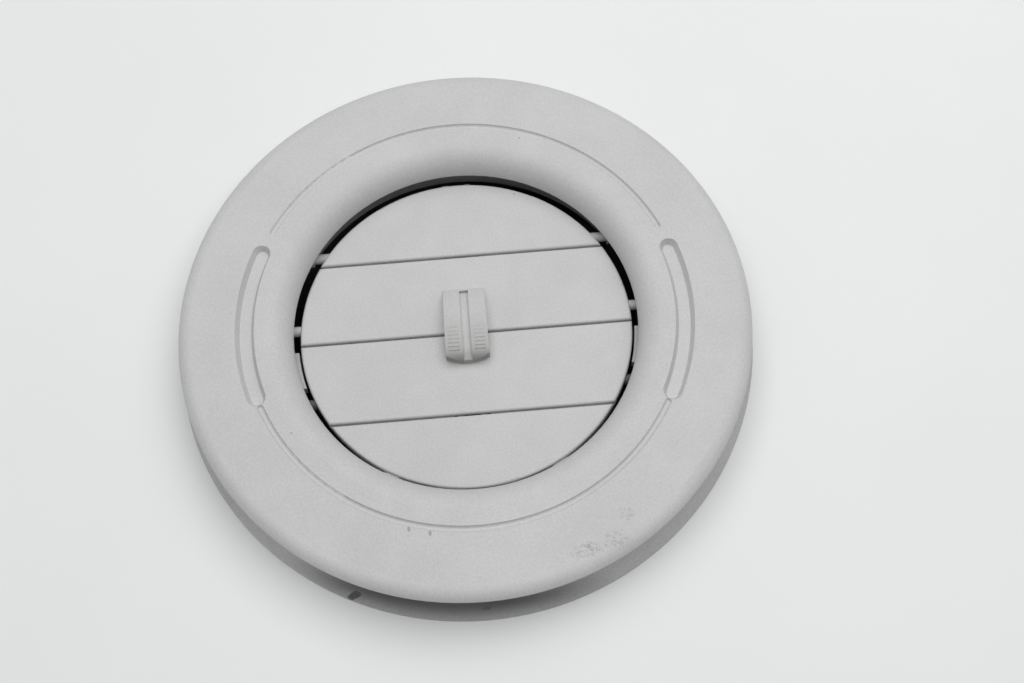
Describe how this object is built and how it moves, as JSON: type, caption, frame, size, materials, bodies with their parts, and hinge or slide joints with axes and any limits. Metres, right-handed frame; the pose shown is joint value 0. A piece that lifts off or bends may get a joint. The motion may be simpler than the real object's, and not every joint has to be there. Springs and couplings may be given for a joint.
{
  "type": "dashboard air vent",
  "caption": "Round dashboard air vent: a flared base, a face ring with finger slots, and a turning louvre of linked blades that close flush and open by a thumb tab.",
  "frame": {"origin": "centre of the base's back plane, which lies on the panel or table", "axes": "+Z out of the face, +X along the blades, +Y from the lower blades towards the top blade"},
  "size_m": [0.112, 0.112, 0.011],
  "materials": {
    "face_plastic": "fine satin grain, light grey",
    "plinth_plastic": "satin, light grey",
    "blade_plastic": "fine satin grain, light grey",
    "carrier_plastic": "satin, light grey",
    "bush_plastic": "natural, semi-matt",
    "link_plastic": "matt black",
    "glide_plastic": "smooth white",
    "seal_foam": "open-cell dark foam"
  },
  "bodies": {
    "base": {"base": "plinth_plastic", "bezel": "face_plastic", "glide_ring": "glide_plastic", "duct_seal": "seal_foam"},
    "louvre": {"louvre_carrier": "carrier_plastic", "pivot_bush_1_left": "bush_plastic", "pivot_bush_1_right": "bush_plastic", "pivot_bush_2_left": "bush_plastic", "pivot_bush_2_right": "bush_plastic", "pivot_bush_3_left": "bush_plastic", "pivot_bush_3_right": "bush_plastic", "pivot_bush_4_left": "bush_plastic", "pivot_bush_4_right": "bush_plastic"},
    "blade_1": {"blade_1": "blade_plastic"},
    "blade_2": {"blade_2": "blade_plastic"},
    "blade_3": {"blade_3": "blade_plastic"},
    "blade_4": {"blade_4": "blade_plastic"},
    "link_rod": {"link_rod": "link_plastic"}
  },
  "joints": [
    {"name": "louvre_turn", "type": "hinge", "parent": "base", "child": "louvre", "pos_m": [0, 0, 0], "axis": [0, 0, 1], "continuous": true},
    {"name": "blade_2_tilt", "type": "hinge", "parent": "louvre", "child": "blade_2", "pos_m": [0, 0.0029, 0.0026], "axis": [-1, 0, 0], "range_deg": [0, 80]},
    {"name": "blade_1_tilt", "type": "hinge", "parent": "louvre", "child": "blade_1", "pos_m": [0, 0.0185, 0.0026], "axis": [-1, 0, 0], "range_deg": [0, 80]},
    {"name": "blade_3_tilt", "type": "hinge", "parent": "louvre", "child": "blade_3", "pos_m": [0, -0.0127, 0.0026], "axis": [-1, 0, 0], "range_deg": [0, 80]},
    {"name": "blade_4_tilt", "type": "hinge", "parent": "louvre", "child": "blade_4", "pos_m": [0, -0.02829, 0.0026], "axis": [-1, 0, 0], "range_deg": [0, 80]},
    {"name": "link_swing", "type": "hinge", "parent": "blade_2", "child": "link_rod", "pos_m": [0, 0.0169, 0.00145], "axis": [-1, 0, 0], "range_deg": [-80, 0]}
  ],
  "couplings": [
    {"joint": "blade_1_tilt", "follows": "blade_2_tilt", "ratio": 1},
    {"joint": "blade_3_tilt", "follows": "blade_2_tilt", "ratio": 1},
    {"joint": "blade_4_tilt", "follows": "blade_2_tilt", "ratio": 1},
    {"joint": "link_swing", "follows": "blade_2_tilt", "ratio": -1}
  ]
}
